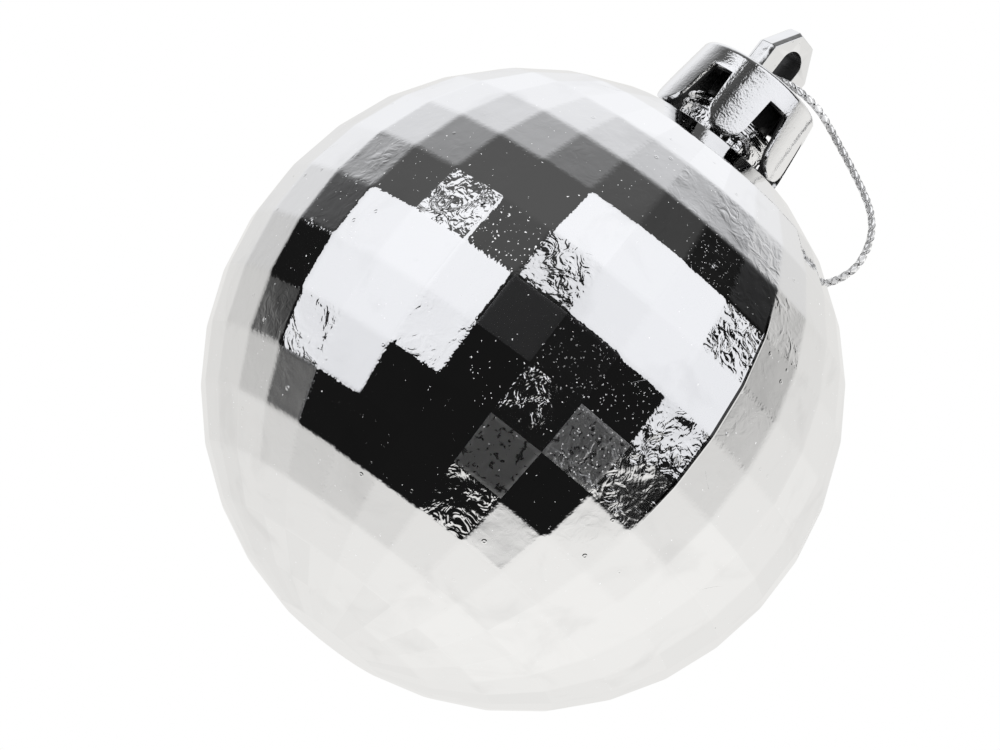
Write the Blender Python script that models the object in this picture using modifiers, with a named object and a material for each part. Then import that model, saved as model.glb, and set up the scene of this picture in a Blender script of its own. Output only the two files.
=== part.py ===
"""Hanging mirror ball bauble: a faceted hollow ball, a push-on crown cap with its eyelet, and a tied cord loop.

Metres, +Z up along the ball's axis. The origin is the centre of the eyelet's hole, where the bauble hangs.
"""

import math

import bmesh
import bpy
from mathutils import Matrix, Vector

MM = 0.001

# Ball: 17 rows of 32 flat facets, whose corners lie on a sphere.
BALL_RADIUS = 30.0 * MM
BALL_CENTRE_Z = -39.5 * MM
FACETS_ROUND = 32
FACET_ROWS = 17
FACET_TURN = math.radians(-2.0)
BALL_WALL = 0.8 * MM

# Neck of the ball, which the cap's sleeve plugs.
NECK_RADIUS = 4.5 * MM
NECK_BORE = 3.7 * MM
NECK_TOP = 32.6 * MM  # above the ball's centre, like every height below
NECK_BEAD = 0.35 * MM
NECK_BEADS = (31.25 * MM, 32.05 * MM)

# Crown cap: a flat roof, a flared skirt of six petals, and a sleeve inside.
CAP_TOP = 37.1 * MM
CAP_ROOF = 1.0 * MM
CAP_WALL = 0.8 * MM
CAP_FLAT_RADIUS = 5.5 * MM
CAP_SHOULDER = 0.9 * MM
CAP_TIP = 29.3 * MM
CAP_TIP_RADIUS = 7.4 * MM
CAP_WAIST = 33.0 * MM  # where the skirt's flare changes, this share of the way out to the tips
CAP_WAIST_SHARE = 0.52
CAP_STEPS = 48
SLEEVE_RADIUS = 3.5 * MM
SLEEVE_BORE = 2.98 * MM
SLEEVE_BOTTOM = 29.9 * MM
PETALS = 6
PETAL_AZIMUTH = math.radians(-94.5)
WINDOW_TOP = 34.8 * MM
WINDOW_HALF_WIDTH = 1.22 * MM
WINDOW_LOW_HALF_WIDTH = 1.65 * MM
PETAL_ROUND_START = 31.6 * MM

# Eyelet: an upright plate with chamfered corners and an arched hole, moulded on the cap.
EYELET_AZIMUTH = math.radians(-44.5)  # the way its face looks
EYELET_OFF_CENTRE = 0.4 * MM  # across, to the right
EYELET_THICKNESS = 2.2 * MM
EYELET_HALF_WIDTH = 3.3 * MM
EYELET_SHOULDER = 40.1 * MM
EYELET_TOP = 43.0 * MM
EYELET_TOP_HALF_WIDTH = 1.2 * MM
EYELET_EDGE = 0.45 * MM  # chamfer round the outside, the hole has none
HOLE_HALF_WIDTH = 1.35 * MM
HOLE_SPRING = 40.0 * MM  # where the arch starts
HOLE_TOP = 41.4 * MM

# Hanging cord: a thin braid through the eyelet, its two ends tied in one knot.
CORD_DIAMETER = 0.72 * MM
CORD_POINTS = 78
KNOT_RADIUS = 1.15 * MM
KNOT_PLACE = (3.7, 15.4, 27.25)

# The route starts at the knot, runs through the eyelet and back behind the ball to the knot.
# Across is to the right, deep is away from the front, and the heights are above the ball's centre.
CORD_ROUTE = [
    (3.3, 14.15, 28.25),
    (2.7, 12.2, 29.3),
    (1.6, 10.0, 32.3),
    (0.5, 8.4, 35.6),
    (-0.5, 6.6, 38.0),
    (-1.2, 4.4, 38.9),
    (-1.4, 2.4, 38.6),
    (-0.9, 0.9, 38.2),
    (0.0, 0.0, 38.1),
    (1.0, -1.0, 38.1),
    (2.2, -1.7, 38.25),
    (3.8, -1.5, 38.4),
    (6.2, -0.7, 38.2),
    (9.2, 0.0, 37.1),
    (12.0, 0.3, 35.9),
    (14.5, 0.4, 34.6),
    (16.2, 0.6, 33.3),
    (17.3, 0.9, 31.5),
    (17.7, 1.5, 29.2),
    (17.1, 3.2, 27.4),
    (15.7, 6.4, 26.0),
    (14.3, 10.6, 25.1),
    (13.0, 15.4, 23.2),
    (12.0, 20.2, 19.6),
    (11.3, 24.2, 15.0),
    (10.9, 27.2, 9.3),
    (10.6, 28.8, 3.2),
    (10.2, 29.3, -2.4),
    (9.2, 29.6, -6.6),
    (7.4, 29.9, -8.8),
    (5.2, 30.2, -8.6),
    (3.8, 30.4, -6.0),
    (3.3, 30.5, -1.6),
    (3.3, 30.3, 4.0),
    (3.5, 29.0, 9.8),
    (3.8, 26.4, 15.4),
    (4.1, 22.6, 20.4),
    (4.2, 18.6, 24.2),
    (3.95, 16.75, 26.3),
]


def clear_scene():
    for obj in list(bpy.data.objects):
        bpy.data.objects.remove(obj)


def new_collection(name):
    collection = bpy.data.collections.new(name)
    bpy.context.scene.collection.children.link(collection)
    return collection


def material(name, colour, roughness, metallic):
    mat = bpy.data.materials.new(name)
    mat.use_nodes = True
    shader = mat.node_tree.nodes["Principled BSDF"]
    shader.inputs["Base Color"].default_value = (*colour, 1.0)
    shader.inputs["Roughness"].default_value = roughness
    shader.inputs["Metallic"].default_value = metallic
    return mat


def turned(name, profile, steps, mat, collection):
    """A solid turned about Z from (radius, height) points that run down its outer side."""
    mesh = bpy.data.meshes.new(name)
    edges = [(i, i + 1) for i in range(len(profile) - 1)]
    mesh.from_pydata([(radius, 0.0, height) for radius, height in profile], edges, [])
    obj = bpy.data.objects.new(name, mesh)
    obj.data.materials.append(mat)
    collection.objects.link(obj)
    screw = obj.modifiers.new("turn", "SCREW")
    screw.axis = "Z"
    screw.angle = 2 * math.pi
    screw.steps = steps
    screw.render_steps = steps
    screw.use_merge_vertices = True
    screw.merge_threshold = 0.00001
    return obj


def arc(centre, radius, start, end, count):
    """Points of an arc in (radius, height), between two angles in degrees, both ends included."""
    points = []
    for i in range(count + 1):
        angle = math.radians(start + (end - start) * i / count)
        points.append((centre[0] + radius * math.cos(angle), centre[1] + radius * math.sin(angle)))
    return points


def as_mesh_object(curve_obj):
    """The curve object as a mesh object of the same name and place, its caps welded."""
    name = curve_obj.name
    graph = bpy.context.evaluated_depsgraph_get()
    mesh = bpy.data.meshes.new_from_object(curve_obj.evaluated_get(graph))
    body = bmesh.new()
    body.from_mesh(mesh)
    bmesh.ops.remove_doubles(body, verts=body.verts, dist=0.000001)
    bmesh.ops.recalc_face_normals(body, faces=body.faces)
    body.to_mesh(mesh)
    body.free()
    obj = bpy.data.objects.new(name, mesh)
    obj.matrix_world = curve_obj.matrix_world.copy()
    obj.parent = curve_obj.parent
    for collection in curve_obj.users_collection:
        collection.objects.link(obj)
    bpy.data.objects.remove(curve_obj)
    obj.name = name
    return obj


def outline(name, loops, half_thickness, collection, edge=0.0):
    """A flat plate in its own XY plane from closed loops of (x, y) points, with chamfered edges."""
    curve = bpy.data.curves.new(name, "CURVE")
    curve.dimensions = "2D"
    curve.fill_mode = "BOTH"
    curve.extrude = half_thickness - edge
    curve.bevel_depth = edge
    curve.bevel_resolution = 0
    curve.offset = -edge
    for points in loops:
        spline = curve.splines.new("POLY")
        spline.points.add(len(points) - 1)
        for point, (x, y) in zip(spline.points, points):
            point.co = (x, y, 0.0, 1.0)
        spline.use_cyclic_u = True
    obj = bpy.data.objects.new(name, curve)
    collection.objects.link(obj)
    return obj


def upright(azimuth, distance=0.0):
    """Places a flat plate upright: its X runs across, its Y up, and its face looks along the azimuth."""
    place = Matrix.Rotation(azimuth + math.pi / 2, 4, "Z") @ Matrix.Rotation(math.pi / 2, 4, "X")
    place.translation = Vector((math.cos(azimuth), math.sin(azimuth), 0.0)) * distance
    place.translation.z = BALL_CENTRE_Z
    return place


def boolean(obj, other, operation):
    modifier = obj.modifiers.new(other.name, "BOOLEAN")
    modifier.operation = operation
    modifier.object = other
    modifier.solver = "EXACT"
    other.hide_render = True
    other.display_type = "WIRE"


def facet_rings(radius):
    """Corners of the facet rows in (radius, height), from the top ring to the bottom ring."""
    row = math.pi / FACET_ROWS
    rings = []
    for i in range(1, FACET_ROWS):
        latitude = math.pi / 2 - i * row
        rings.append((radius * math.cos(latitude), radius * math.sin(latitude)))
    return rings


def make_ball(parts, mat):
    inner = facet_rings(BALL_RADIUS - BALL_WALL)
    outer = facet_rings(BALL_RADIUS)
    profile = [(0.0, inner[-1][1])]
    profile += reversed(inner)
    profile.append((NECK_BORE, inner[0][1]))
    profile.append((NECK_BORE, NECK_TOP))
    profile.append((NECK_RADIUS - 0.2 * MM, NECK_TOP))
    for height in reversed(NECK_BEADS):
        profile += arc((NECK_RADIUS, height), NECK_BEAD, 90, -90, 4)
    profile.append((NECK_RADIUS, outer[0][1]))
    profile += outer
    profile.append((0.0, outer[-1][1]))
    ball = turned("ball_shell", profile, FACETS_ROUND, mat, parts)
    ball.location.z = BALL_CENTRE_Z
    ball.rotation_euler.z = FACET_TURN


def cap_profile():
    shoulder = (CAP_FLAT_RADIUS, CAP_TOP - CAP_SHOULDER)
    wide = CAP_FLAT_RADIUS + CAP_SHOULDER
    roof = CAP_TOP - CAP_ROOF
    waist = wide + CAP_WAIST_SHARE * (CAP_TIP_RADIUS - wide)
    profile = [(0.0, CAP_TOP)]
    profile += arc(shoulder, CAP_SHOULDER, 90, 0, 4)
    profile.append((waist, CAP_WAIST))
    profile.append((CAP_TIP_RADIUS, CAP_TIP))
    profile.append((CAP_TIP_RADIUS - CAP_WALL, CAP_TIP))
    profile.append((waist - CAP_WALL, CAP_WAIST))
    profile.append((wide - CAP_WALL, roof - 0.5 * MM))
    profile.append((wide - CAP_WALL - 0.5 * MM, roof))
    profile.append((SLEEVE_RADIUS, roof))
    profile.append((SLEEVE_RADIUS, SLEEVE_BOTTOM))
    profile.append((SLEEVE_BORE, SLEEVE_BOTTOM))
    profile.append((SLEEVE_BORE, roof))
    profile.append((0.0, roof))
    return profile


def window_outline():
    """The gap between two petals: a flat top, straight sides, and the petals' rounded tips below."""
    low = CAP_TIP - 0.4 * MM
    reach = CAP_TIP_RADIUS * math.tan(math.pi / PETALS) - WINDOW_LOW_HALF_WIDTH
    drop = PETAL_ROUND_START - CAP_TIP
    side = [(WINDOW_HALF_WIDTH, WINDOW_TOP)]
    steps = 5
    for i in range(steps + 1):
        angle = math.pi / 2 * i / steps
        x = WINDOW_LOW_HALF_WIDTH + reach * (1 - math.cos(angle))
        side.append((x, PETAL_ROUND_START - drop * math.sin(angle)))
    side.append((side[-1][0], low))
    return side + [(-x, z) for x, z in reversed(side)]


def eyelet_outline():
    base = CAP_TOP - 0.5 * CAP_ROOF
    return [
        (EYELET_HALF_WIDTH, base),
        (EYELET_HALF_WIDTH, EYELET_SHOULDER),
        (EYELET_TOP_HALF_WIDTH, EYELET_TOP),
        (-EYELET_TOP_HALF_WIDTH, EYELET_TOP),
        (-EYELET_HALF_WIDTH, EYELET_SHOULDER),
        (-EYELET_HALF_WIDTH, base),
    ]


def hole_outline():
    hole = [(HOLE_HALF_WIDTH, CAP_TOP + 0.15 * MM)]
    steps = 10
    for i in range(steps + 1):
        angle = math.pi * i / steps
        height = HOLE_SPRING + (HOLE_TOP - HOLE_SPRING) * math.sin(angle)
        hole.append((HOLE_HALF_WIDTH * math.cos(angle), height))
    hole.append((-HOLE_HALF_WIDTH, CAP_TOP + 0.15 * MM))
    return hole


def make_cap(parts, cutters, mat):
    cap = turned("crown_cap", cap_profile(), CAP_STEPS, mat, parts)
    cap.location.z = BALL_CENTRE_Z
    for i in range(PETALS):
        azimuth = PETAL_AZIMUTH + math.pi / PETALS + 2 * math.pi * i / PETALS
        cutter = outline(f"window_{i + 1}", [window_outline()], 2.0 * MM, cutters)
        cutter.matrix_world = upright(azimuth, 6.4 * MM)
        boolean(cap, as_mesh_object(cutter), "DIFFERENCE")
    place = Matrix.Translation((EYELET_OFF_CENTRE, 0, 0)) @ upright(EYELET_AZIMUTH)
    plate = outline("eyelet_plate", [eyelet_outline()], EYELET_THICKNESS / 2, cutters, EYELET_EDGE)
    plate.matrix_world = place
    boolean(cap, as_mesh_object(plate), "UNION")
    hole = outline("eyelet_hole", [hole_outline()], EYELET_THICKNESS, cutters)
    hole.matrix_world = place
    boolean(cap, as_mesh_object(hole), "DIFFERENCE")


def smooth_route(points, count):
    """Evenly spaced points on the Catmull-Rom curve through the given points."""
    dense = []
    padded = [points[0]] + points + [points[-1]]
    for a, b, c, d in zip(padded, padded[1:], padded[2:], padded[3:]):
        for k in range(20):
            t = k / 20
            dense.append(0.5 * (2 * b + (c - a) * t + (2 * a - 5 * b + 4 * c - d) * t**2
                                + (3 * b - a - 3 * c + d) * t**3))
    dense.append(points[-1])
    lengths = [0.0]
    for a, b in zip(dense, dense[1:]):
        lengths.append(lengths[-1] + (b - a).length)
    result = []
    index = 0
    for i in range(count):
        wanted = lengths[-1] * i / (count - 1)
        while index < len(dense) - 2 and lengths[index + 1] < wanted:
            index += 1
        span = lengths[index + 1] - lengths[index]
        result.append(dense[index].lerp(dense[index + 1], (wanted - lengths[index]) / span))
    return result


def place_on_bauble(point):
    """A (across, deep, height) point in millimetres as a place in the part's frame."""
    return Vector((point[0] * MM, point[1] * MM, point[2] * MM + BALL_CENTRE_Z))


def make_cord(parts, mat):
    route = [place_on_bauble(point) for point in CORD_ROUTE]
    curve = bpy.data.curves.new("hanging_cord", "CURVE")
    curve.dimensions = "3D"
    curve.bevel_depth = CORD_DIAMETER / 2
    curve.bevel_resolution = 2
    curve.use_fill_caps = True
    spline = curve.splines.new("POLY")
    spline.points.add(CORD_POINTS - 1)
    for point, place in zip(spline.points, smooth_route(route, CORD_POINTS)):
        point.co = (*place, 1.0)
    cord = bpy.data.objects.new("hanging_cord", curve)
    cord.data.materials.append(mat)
    parts.objects.link(cord)


def make_knot(parts, mat):
    """The overhand knot as a plain rounded lump between the cord's two ends."""
    body = bmesh.new()
    bmesh.ops.create_uvsphere(body, u_segments=16, v_segments=10, radius=KNOT_RADIUS)
    mesh = bpy.data.meshes.new("cord_knot")
    body.to_mesh(mesh)
    body.free()
    knot = bpy.data.objects.new("cord_knot", mesh)
    knot.data.materials.append(mat)
    knot.location = place_on_bauble(KNOT_PLACE)
    parts.objects.link(knot)


def main():
    clear_scene()
    parts = new_collection("mirror_ball")
    cutters = new_collection("cutters")
    silver = material("silver_mirror_plastic", (0.93, 0.93, 0.94), 0.06, 1.0)
    cap_silver = material("silver_cap_plastic", (0.90, 0.90, 0.91), 0.12, 1.0)
    braid = material("silver_braid", (0.80, 0.80, 0.82), 0.35, 0.9)
    make_ball(parts, silver)
    make_cap(parts, cutters, cap_silver)
    make_cord(parts, braid)
    make_knot(parts, braid)


main()
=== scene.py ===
"""The looks of a hanging mirror ball bauble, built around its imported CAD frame.

Metres, +Z up along the ball's axis, and the side that the camera sees faces -Y. Heights in the constants
are above the ball's centre, like those of the CAD.
"""

import math
import random

import bmesh
import bpy
from mathutils import Matrix, Vector, noise


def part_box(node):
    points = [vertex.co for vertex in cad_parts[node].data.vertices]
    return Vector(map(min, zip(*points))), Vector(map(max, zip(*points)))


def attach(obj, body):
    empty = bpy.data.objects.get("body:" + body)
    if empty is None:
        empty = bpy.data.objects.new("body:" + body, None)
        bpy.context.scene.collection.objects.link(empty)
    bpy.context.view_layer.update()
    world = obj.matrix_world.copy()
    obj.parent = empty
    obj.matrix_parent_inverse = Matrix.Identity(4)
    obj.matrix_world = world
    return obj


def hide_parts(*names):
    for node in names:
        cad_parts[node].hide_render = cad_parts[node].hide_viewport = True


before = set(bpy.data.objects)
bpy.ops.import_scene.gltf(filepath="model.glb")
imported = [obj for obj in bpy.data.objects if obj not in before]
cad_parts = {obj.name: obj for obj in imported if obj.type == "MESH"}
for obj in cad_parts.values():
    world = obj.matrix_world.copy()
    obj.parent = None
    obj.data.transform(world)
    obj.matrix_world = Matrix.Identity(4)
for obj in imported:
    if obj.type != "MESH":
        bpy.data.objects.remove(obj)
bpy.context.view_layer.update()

MM = 0.001

# Ball: 17 rows of 32 flat facets. Rows count from the top pole, columns to the right from the front.
BALL_RADIUS = 30.0 * MM
FACETS_ROUND = 32
FACET_ROWS = 17
ROW_ANGLE = math.pi / FACET_ROWS
COLUMN_ANGLE = 2 * math.pi / FACETS_ROUND
FIRST_EDGE = math.radians(-2.0) - 7 * COLUMN_ANGLE  # the meridian edge just right of the front
FACET_DISC = BALL_RADIUS * math.cos(ROW_ANGLE)  # height of the flat disc at each pole
BALL_WALL = 0.8 * MM
EDGE_ROUND = 0.06  # share of a facet's width that rounds over at each side
EDGE_PEBBLING = 0.3  # how pebbled the film is on these rounded edges
CORNER_JITTER = 0.022 * MM
FACET_DOME = 0.010 * MM
FACET_WAVE = 0.0035 * MM
SEAM_COLUMNS = {2: 1.0, 18: 0.4}  # columns whose left edge the moulding seam follows, and its strength
SEAM_HEIGHT = 0.12 * MM
SEAM_LATITUDES = (math.radians(-15), math.radians(34))
SEAM_PAINTED_DARK = 0.06  # near-black colour painted along the moulding seam: a painted dark reflection

# Facets where the mirror film wrinkled, clouded, or took specks: (row, column) and how strongly.
CRINKLED = {
    (7, 28): 0.8, (7, 30): 0.2, (9, 31): 0.8, (9, 0): 0.3, (9, 1): 0.6, (8, 1): 0.33, (6, 1): 0.35,
    (10, 27): 0.2, (9, 29): 0.11, (11, 31): 0.4, (10, 31): 0.1, (4, 31): 0.1, (4, 0): 0.14, (4, 1): 0.11,
    (5, 2): 0.18, (7, 26): 0.14, (5, 12): 0.6, (8, 15): 0.7, (11, 18): 0.5, (6, 20): 0.4, (10, 8): 0.6,
    (12, 11): 0.4, (7, 6): 0.5,
}
CLOUDED = {
    (9, 0): 0.27, (10, 31): 0.29, (9, 31): 0.05, (9, 1): 0.08, (8, 30): 0.15, (11, 26): 0.15,
    (11, 27): 0.15, (10, 28): 0.1, (8, 31): 0.07, (9, 25): 0.12, (6, 13): 0.25, (9, 17): 0.3, (7, 9): 0.2,
}
SPECKLED = {(7, 29): 1.0, (9, 0): 0.5, (8, 0): 0.4, (8, 31): 0.25, (11, 0): 0.3, (5, 0): 0.3, (8, 16): 0.8}
PLAIN_CRINKLE = 0.015  # how wrinkled every other facet is
NECK_CRINKLE = 0.8
FACET_TRAITS = ("crinkle", "cloud", "speckle", "film", "edge")  # what the film reads from each face

# Marks in the films: cells per millimetre, radius in millimetres, and the share of the cells that have one.
DUST = (1.5, 0.075, 0.12)
FINE_DUST = (2.9, 0.055, 0.22)
SPRAY = (3.0, 0.085, 0.6)
PINHOLES = (0.7, 0.10, 0.03)
RING_PIT_OUTSIDE = (0.9, 0.27, 0.08)
RING_PIT_INSIDE = (0.9, 0.15, 0.08)
CAP_PITS = (1.6, 0.09, 0.06)

# How deep the films' relief is.
PEEL_DEPTH = 0.010 * MM
WRINKLE_DEPTH = 0.5 * MM
PEBBLE_DEPTH = 0.035 * MM
SCRATCH_DEPTH = 0.012 * MM
CAP_RIPPLE_DEPTH = 0.02 * MM
CAP_GRAIN_DEPTH = 0.018 * MM
CAP_PIT_DEPTH = 0.02 * MM
GLINT_DEPTH = 0.02 * MM
STRONG_CLOUD = 0.2  # from here up a clouded facet is also mottled

# Neck of the ball, which the cap's sleeve plugs.
NECK_RADIUS = 4.5 * MM
NECK_BORE = 3.7 * MM
NECK_TOP = 32.6 * MM
NECK_BEAD = 0.33 * MM
NECK_BEADS = (31.25 * MM, 32.05 * MM)
NECK_FIRST_RING = 17  # the first ring of the ball's mesh that lies on its neck

# Crown cap.
CAP_TOP = 37.1 * MM
CAP_WALL = 0.75 * MM
CAP_FLAT_RADIUS = 5.85 * MM
CAP_SHOULDER = 0.55 * MM
CAP_TIP = 29.3 * MM
CAP_TIP_RADIUS = 7.4 * MM
CAP_WAIST = (33.0 * MM, 6.92 * MM)  # height and radius where the skirt's flare changes
CAP_EDGE_ROUND = 0.16 * MM
SLEEVE_RADIUS = 3.5 * MM
SLEEVE_BORE = 2.98 * MM
SLEEVE_BOTTOM = 29.9 * MM
PETALS = 6
PETAL_AZIMUTH = math.radians(-94.5)
WINDOW_TOP = 34.8 * MM
WINDOW_HALF_WIDTH = 1.22 * MM
WINDOW_LOW_HALF_WIDTH = 1.65 * MM
PETAL_ROUND_START = 31.6 * MM

# Eyelet.
EYELET_AZIMUTH = math.radians(-44.5)
EYELET_OFF_CENTRE = 0.4 * MM
EYELET_THICKNESS = 2.2 * MM
EYELET_HALF_WIDTH = 3.3 * MM
EYELET_SHOULDER = 40.1 * MM
EYELET_TOP = 43.0 * MM
EYELET_TOP_HALF_WIDTH = 1.2 * MM
EYELET_EDGE_ACROSS = 0.22 * MM  # how far its outer edges are cut away across its face
EYELET_EDGE_DEEP = 0.46 * MM  # and along its thickness
EYELET_EDGE_ROUND = 0.05 * MM
HOLE_HALF_WIDTH = 1.35 * MM
HOLE_SPRING = 40.0 * MM
HOLE_TOP = 41.4 * MM
HOLE_BACK_SHARE = 0.58  # the moulded hole narrows to this share of its width at the back

# Cord: a round braid of four flat strands, tied in one knot with two short tails.
CORD_DIAMETER = 0.72 * MM
CORD_POINTS = 78
BRAID_PITCH = 2.4 * MM
BRAID_TURN = math.radians(45)  # turns the braid so that its chevrons face the front
BRAID_STEPS = 20  # points along one strand in one turn
STRAND_SIDES = 12
STRAND_HALF_WIDTH = 0.43  # this and the next three are shares of the cord's diameter
STRAND_HALF_THICKNESS = 0.11
STRAND_ORBIT = 0.30  # how far the strands wind from the cord's middle
STRAND_WEAVE = 0.07  # how far they move out and in to pass over and under
KNOT_RADIUS = 1.15 * MM
KNOT_PLACE = (3.7, 15.4, 27.25)
TAIL_LENGTH = 5.0 * MM
TAIL_RISE = 0.4 * MM
TAIL_HAIRS = 9

# The CAD's route in millimetres: across to the right, deep away from the front, and height.
CORD_ROUTE = [
    (3.3, 14.15, 28.25),
    (2.7, 12.2, 29.3),
    (1.6, 10.0, 32.3),
    (0.5, 8.4, 35.6),
    (-0.5, 6.6, 38.0),
    (-1.2, 4.4, 38.9),
    (-1.4, 2.4, 38.6),
    (-0.9, 0.9, 38.2),
    (0.0, 0.0, 38.1),
    (1.0, -1.0, 38.1),
    (2.2, -1.7, 38.25),
    (3.8, -1.5, 38.4),
    (6.2, -0.7, 38.2),
    (9.2, 0.0, 37.1),
    (12.0, 0.3, 35.9),
    (14.5, 0.4, 34.6),
    (16.2, 0.6, 33.3),
    (17.3, 0.9, 31.5),
    (17.7, 1.5, 29.2),
    (17.1, 3.2, 27.4),
    (15.7, 6.4, 26.0),
    (14.3, 10.6, 25.1),
    (13.0, 15.4, 23.2),
    (12.0, 20.2, 19.6),
    (11.3, 24.2, 15.0),
    (10.9, 27.2, 9.3),
    (10.6, 28.8, 3.2),
    (10.2, 29.3, -2.4),
    (9.2, 29.6, -6.6),
    (7.4, 29.9, -8.8),
    (5.2, 30.2, -8.6),
    (3.8, 30.4, -6.0),
    (3.3, 30.5, -1.6),
    (3.3, 30.3, 4.0),
    (3.5, 29.0, 9.8),
    (3.8, 26.4, 15.4),
    (4.1, 22.6, 20.4),
    (4.2, 18.6, 24.2),
    (3.95, 16.75, 26.3),
]

# Camera: where it stands round the ball, its roll, and its lens.
VIEW_ELEVATION = math.radians(-9.64)
VIEW_ROLL = math.radians(37.81)
VIEW_DISTANCE = 16.4 * BALL_RADIUS
LENS = 190.2
LENS_SHIFT = (-0.0231, 0.0148)

# Studio, in angles from the camera's direction as the ball sees it: right, up, turn, and half sizes.
SOFTBOXES = {
    "softbox_left": (-59.9, 35.8, 22.0, 0.66, 0.55),
    "softbox_right": (54.2, 22.3, 20.9, 0.435, 0.81),
}
SOFTBOX_DISTANCE = 1.2
SOFTBOX_RADIANCE = 1.06
SOFTBOX_FALLOFF = 0.45  # how much its radiance drops one box width or height from its brightest place
SOFTBOX_CENTRE = (0.6, 0.58)  # its brightest place, across and up, as shares of its size
SOFTBOX_TINT = (0.955, 0.965, 1.0)
SURROUND_RADIUS = 2.0
TABLE_TILT = math.radians(50.0)  # the bounce table's horizon is this far below the camera's direction
TABLE_LIGHT = 1.06
TABLE_EDGE_SHADE = 0.79  # how much darker the table gets toward its horizon, away from the camera
ROOM_LIGHT = 0.009
CEILING_LIGHT = 0.096
WALL_LIGHT = 1.05
TABLE_TINT = (1.0, 0.992, 0.975)
WALL_TINT = (0.965, 0.973, 1.0)
FLOOR_HEIGHT = -0.45

ball_low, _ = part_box("ball_shell")
BALL_CENTRE = Vector((0.0, 0.0, ball_low.z + FACET_DISC))


def smoothstep(low, high, value):
    share = min(1.0, max(0.0, (value - low) / (high - low)))
    return share * share * (3 - 2 * share)


# Materials


def new_material(name):
    mat = bpy.data.materials.new(name)
    mat.use_nodes = True
    return mat, mat.node_tree, mat.node_tree.nodes["Principled BSDF"]


def node(tree, kind, inputs=None, **settings):
    """Adds a node. An input's value is a number, a colour, or another node's output socket."""
    made = tree.nodes.new(kind)
    for key, value in settings.items():
        setattr(made, key, value)
    for key, value in (inputs or {}).items():
        if isinstance(value, bpy.types.NodeSocket):
            tree.links.new(value, made.inputs[key])
        else:
            made.inputs[key].default_value = value
    return made


def math_node(tree, operation, a, b=0.0, c=0.0):
    return node(tree, "ShaderNodeMath", {0: a, 1: b, 2: c}, operation=operation).outputs[0]


def ramp(tree, value, low, high, to_low=0.0, to_high=1.0):
    """The value carried smoothly from low..high to to_low..to_high."""
    inputs = {"Value": value, "From Min": low, "From Max": high, "To Min": to_low, "To Max": to_high}
    return node(tree, "ShaderNodeMapRange", inputs, interpolation_type="SMOOTHSTEP").outputs["Result"]


def millimetres(tree):
    """Object coordinates in millimetres."""
    place = node(tree, "ShaderNodeTexCoord").outputs["Object"]
    return node(tree, "ShaderNodeVectorMath", {0: place, "Scale": 1000.0}, operation="SCALE").outputs[0]


def mesh_value(tree, name):
    """A number that the mesh carries on its faces or points."""
    return node(tree, "ShaderNodeAttribute", attribute_name=name).outputs["Fac"]


def grey(tree, shade):
    return node(tree, "ShaderNodeCombineColor", {0: shade, 1: shade, 2: shade}).outputs[0]


def noise_at(tree, place, per_mm, detail=2.0, distortion=0.0):
    inputs = {"Vector": place, "Scale": per_mm, "Detail": detail, "Distortion": distortion}
    return node(tree, "ShaderNodeTexNoise", inputs).outputs["Fac"]


def ragged(tree, place, reach_mm):
    """The place moved about a little, so that round marks get uneven outlines."""
    shaken = node(tree, "ShaderNodeTexNoise", {"Vector": place, "Scale": 4.0, "Detail": 1.0})
    inputs = {0: shaken.outputs["Color"], 1: (0.5, 0.5, 0.5)}
    offset = node(tree, "ShaderNodeVectorMath", inputs, operation="SUBTRACT").outputs[0]
    inputs = {0: offset, 1: (2 * reach_mm,) * 3, 2: place}
    return node(tree, "ShaderNodeVectorMath", inputs, operation="MULTIPLY_ADD").outputs[0]


def specks(tree, place, per_mm, radius_mm, share):
    """1 inside small round specks, which sit in this share of the cells, and 0 elsewhere."""
    cells = node(tree, "ShaderNodeTexVoronoi", {"Vector": place, "Scale": per_mm, "Randomness": 1.0})
    near = ramp(tree, cells.outputs["Distance"], radius_mm * per_mm, radius_mm * per_mm * 0.5)
    chosen = node(tree, "ShaderNodeSeparateColor", {0: cells.outputs["Color"]}).outputs[0]
    return math_node(tree, "MULTIPLY", near, math_node(tree, "GREATER_THAN", chosen, 1.0 - share))


def hairlines(tree, place, per_mm, width, share):
    """1 along sparse, long, curving scratches, and 0 elsewhere."""
    level = math_node(tree, "SUBTRACT", noise_at(tree, place, per_mm, 0.0, 0.4), 0.5)
    line = ramp(tree, math_node(tree, "ABSOLUTE", level), width, 0.0)
    patches = ramp(tree, noise_at(tree, place, per_mm * 1.7, 0.0), 1.0 - share, 1.04 - share)
    return math_node(tree, "MULTIPLY", line, patches)


def bump(tree, height, depth, below=None):
    inputs = {"Height": height, "Distance": depth, "Strength": 1.0}
    if below is not None:
        inputs["Normal"] = below
    return node(tree, "ShaderNodeBump", inputs).outputs["Normal"]


def dusted(tree, shade, dust):
    """The silver's colour times a shade, with white where dust lies."""
    mix = node(tree, "ShaderNodeMix", data_type="RGBA")
    plain, white = [socket for socket in mix.inputs if socket.type == "RGBA"]
    tree.links.new(grey(tree, shade), plain)
    white.default_value = (0.9, 0.9, 0.9, 1.0)
    tree.links.new(dust, mix.inputs["Factor"])
    return next(socket for socket in mix.outputs if socket.type == "RGBA")


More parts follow.
